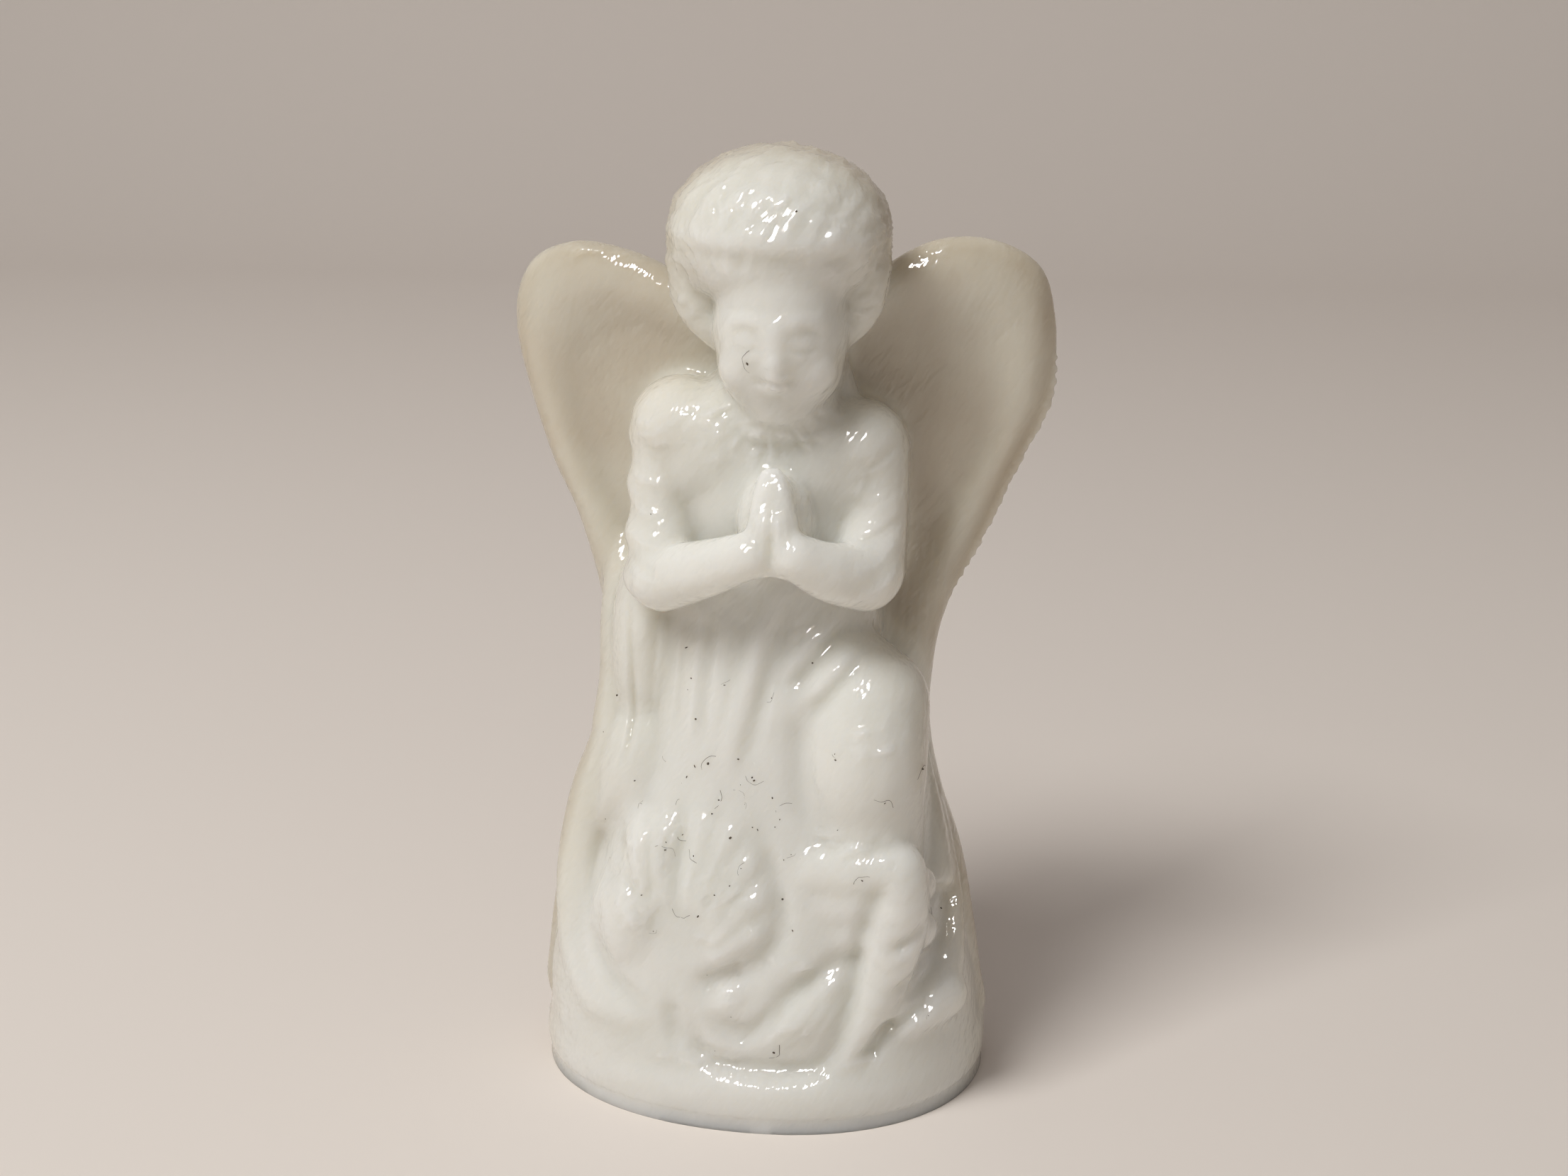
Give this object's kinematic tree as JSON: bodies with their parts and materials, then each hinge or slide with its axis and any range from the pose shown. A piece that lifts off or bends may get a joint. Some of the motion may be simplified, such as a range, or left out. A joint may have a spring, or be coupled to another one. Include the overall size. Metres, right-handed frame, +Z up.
{
  "type": "milk glass angel figurine",
  "caption": "Small solid cast figurine of a winged child angel kneeling in prayer, with two doves at its knee, on an oval plinth; stands on a shelf as an ornament.",
  "frame": {"origin": "on the flat underside, under the middle of the plinth, a little to the figure's left of the middle of its width", "axes": "+Z up the height of the figure; the figure faces -Y; +X is the viewer's right"},
  "size_m": [0.057, 0.0342, 0.1006],
  "materials": {
    "milk_glass": "glossy fire-polished opal white, opaque, slightly waxy in depth"
  },
  "bodies": {
    "root": {"angel": "milk_glass"}
  },
  "joints": []
}
